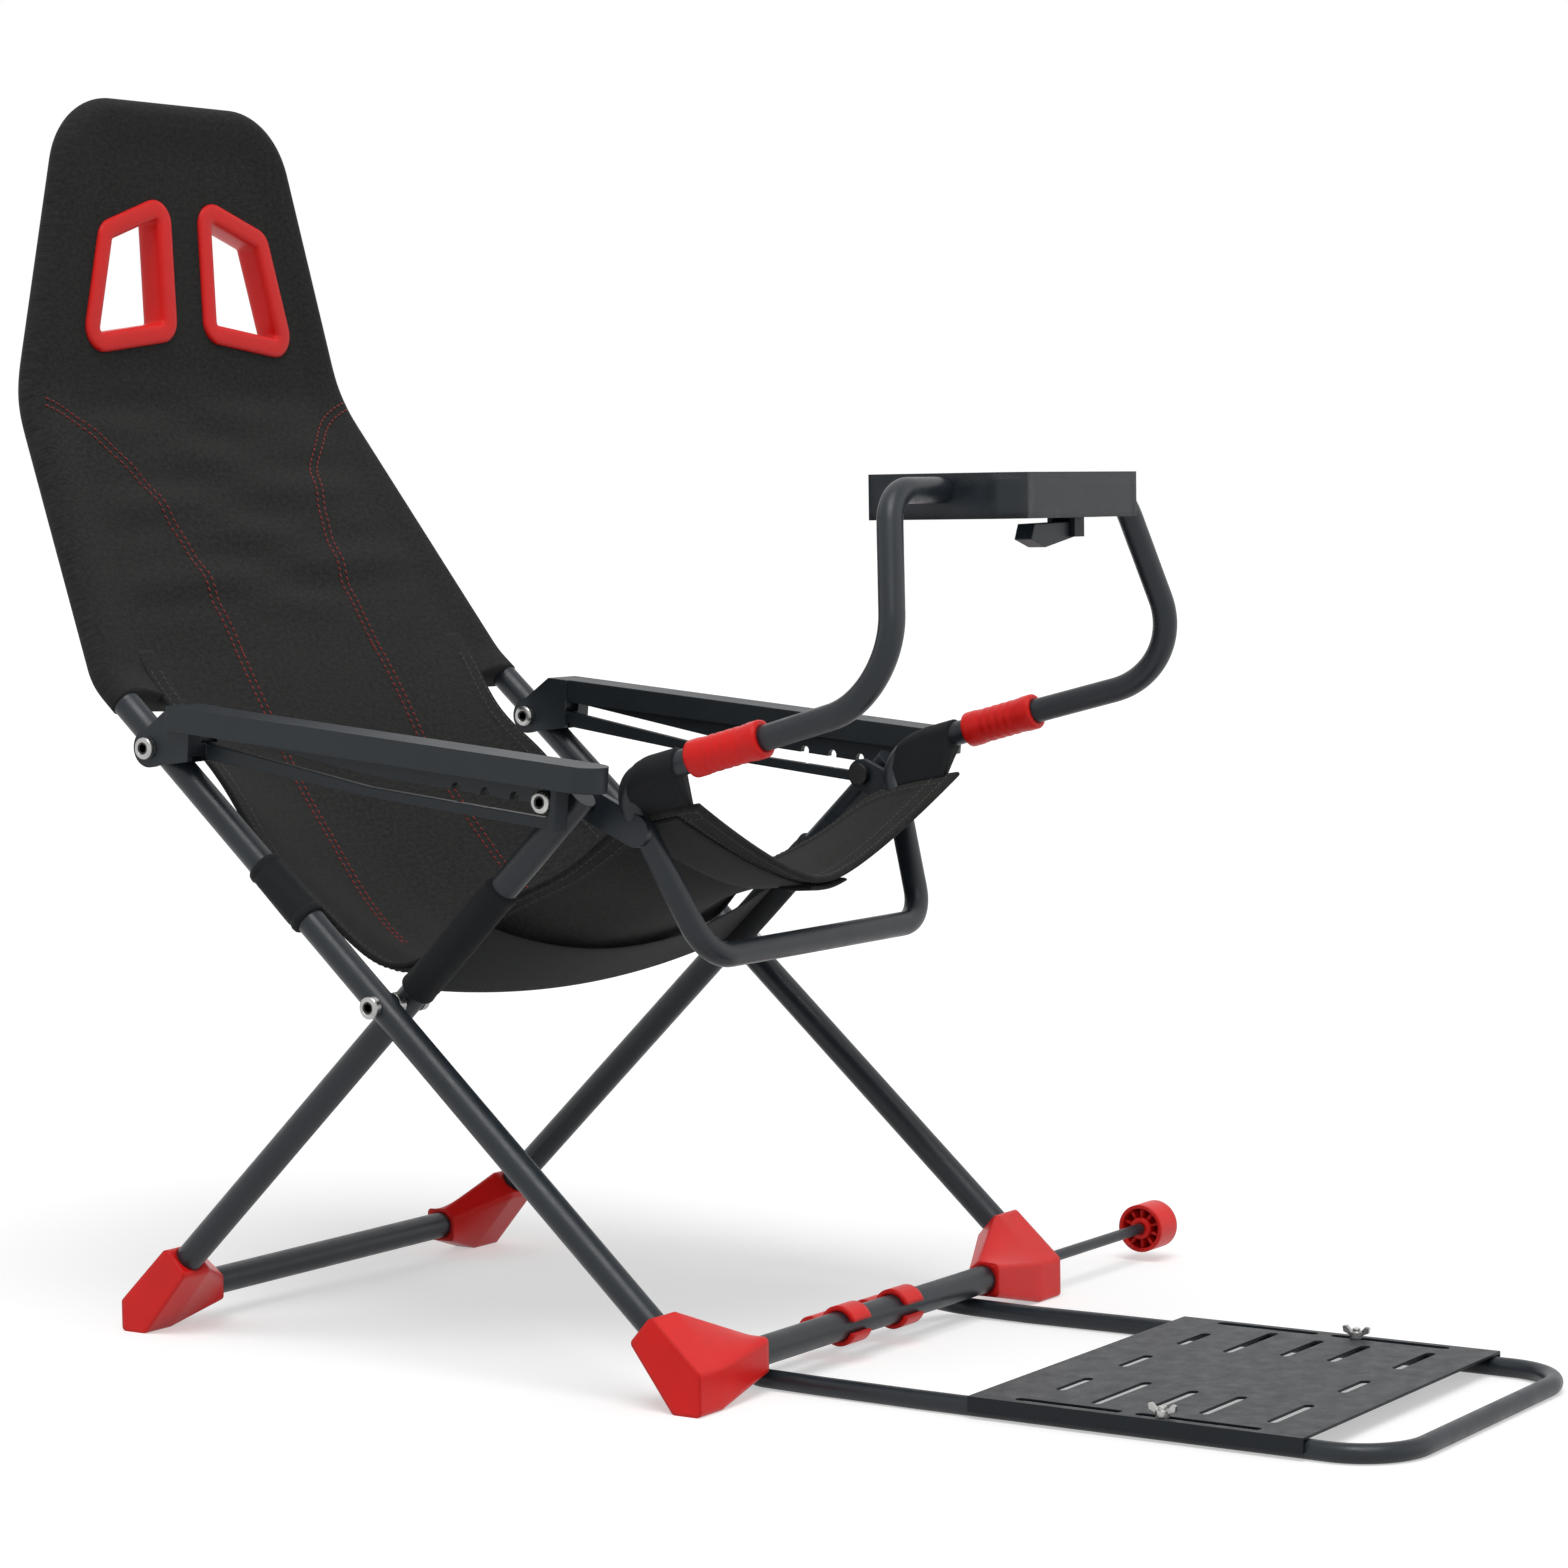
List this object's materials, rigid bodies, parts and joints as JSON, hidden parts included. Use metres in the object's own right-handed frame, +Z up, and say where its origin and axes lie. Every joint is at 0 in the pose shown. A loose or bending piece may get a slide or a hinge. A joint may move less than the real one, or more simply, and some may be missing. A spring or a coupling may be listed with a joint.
{
  "type": "folding racing seat",
  "caption": "Folding racing seat with crossed tube legs, a fabric sling and back, armrests, a wheel deck and a sliding pedal plate.",
  "frame": {"origin": "on the floor under the rear crossbar, midway between the legs", "axes": "+X across to the driver's left, -Y forward along the pedals, +Z up; metres"},
  "size_m": [0.7123, 1.2047, 0.982],
  "materials": {
    "frame_coat": "satin powder coat, near black with a blue-grey cast",
    "deck_coat": "satin powder coat",
    "sheet_coat": "satin powder coat on folded sheet steel",
    "pedal_coat": "satin powder coat",
    "red_plastic": "bright red moulded plastic with a soft sheen",
    "seat_fabric": "dark charcoal woven polyester",
    "webbing": "black woven band",
    "arm_plastic": "dark blue-grey moulded plastic",
    "zinc": "bright zinc plate",
    "rod_coat": "black lacquer"
  },
  "bodies": {
    "back_frame": {"front_leg_right": "frame_coat", "front_leg_left": "frame_coat", "front_crossbar": "frame_coat", "back_hoop": "frame_coat", "front_cap_right": "red_plastic", "front_cap_left": "red_plastic", "seat_back": "seat_fabric", "head_ring_right": "red_plastic", "head_ring_left": "red_plastic", "seat_sling": "seat_fabric", "front_cuffs": "webbing", "cross_bolts": "zinc", "armrest_pins": "zinc"},
    "leg_frame": {"rear_leg_right": "frame_coat", "rear_leg_left": "frame_coat", "rear_crossbar": "frame_coat", "rear_cap_right": "red_plastic", "rear_cap_left": "red_plastic", "rear_cuffs": "webbing", "under_strap": "webbing", "deck_pins": "zinc"},
    "right_rest": {"armrest_right": "arm_plastic", "armrest_bolt_right": "zinc"},
    "left_rest": {"armrest_left": "arm_plastic", "armrest_bolt_left": "zinc"},
    "deck_frame": {"deck_hoop": "deck_coat", "deck_grip_right": "red_plastic", "deck_grip_left": "red_plastic"},
    "wheel_deck": {"deck_arm_right": "deck_coat", "deck_arm_left": "deck_coat", "deck_plate": "sheet_coat", "lever_bracket": "sheet_coat"},
    "lever": {"deck_lever": "arm_plastic"},
    "pedal_frame": {"pedal_loop": "pedal_coat", "pedal_clips": "red_plastic", "wing_bolts": "zinc"},
    "pedal_tray": {"pedal_plate": "sheet_coat"},
    "lock": {"lock_rod": "rod_coat", "lock_knob": "red_plastic"}
  },
  "joints": [
    {"name": "frame_fold", "type": "hinge", "parent": "back_frame", "child": "leg_frame", "pos_m": [0, -0.25793, 0.27528], "axis": [-1, 0, 0], "range_deg": [0, 78], "deforming": ["seat_sling"]},
    {"name": "armrest_right_turn", "type": "hinge", "parent": "back_frame", "child": "right_rest", "pos_m": [0, -0.04696, 0.46391], "axis": [1, 0, 0], "range_deg": [0, 2]},
    {"name": "armrest_left_turn", "type": "hinge", "parent": "back_frame", "child": "left_rest", "pos_m": [0, -0.04696, 0.46391], "axis": [1, 0, 0], "range_deg": [0, 2]},
    {"name": "deck_lift", "type": "hinge", "parent": "leg_frame", "child": "deck_frame", "pos_m": [0, -0.41428, 0.42518], "axis": [1, 0, 0], "range_deg": [-60, 0], "deforming": ["seat_sling"]},
    {"name": "deck_slide", "type": "slide", "parent": "deck_frame", "child": "wheel_deck", "axis": [0, -0.9673, 0.2538], "range_m": [0, 0.05]},
    {"name": "lever_swing", "type": "hinge", "parent": "wheel_deck", "child": "lever", "pos_m": [0.004, -0.70661, 0.62361], "axis": [0, -1, 0], "range_deg": [0, 70]},
    {"name": "pedal_fold", "type": "hinge", "parent": "back_frame", "child": "pedal_frame", "pos_m": [0, -0.5345, 0.028], "axis": [-1, 0, 0], "range_deg": [0, 65]},
    {"name": "pedal_slide", "type": "slide", "parent": "pedal_frame", "child": "pedal_tray", "axis": [0, -1, 0], "range_m": [-0.06, 0.012]},
    {"name": "lock_slide", "type": "slide", "parent": "back_frame", "child": "lock", "axis": [1, 0, 0], "range_m": [-0.12, 0]}
  ],
  "couplings": [
    {"joint": "armrest_right_turn", "follows": "frame_fold", "ratio": 0.025},
    {"joint": "armrest_left_turn", "follows": "frame_fold", "ratio": 0.025}
  ]
}
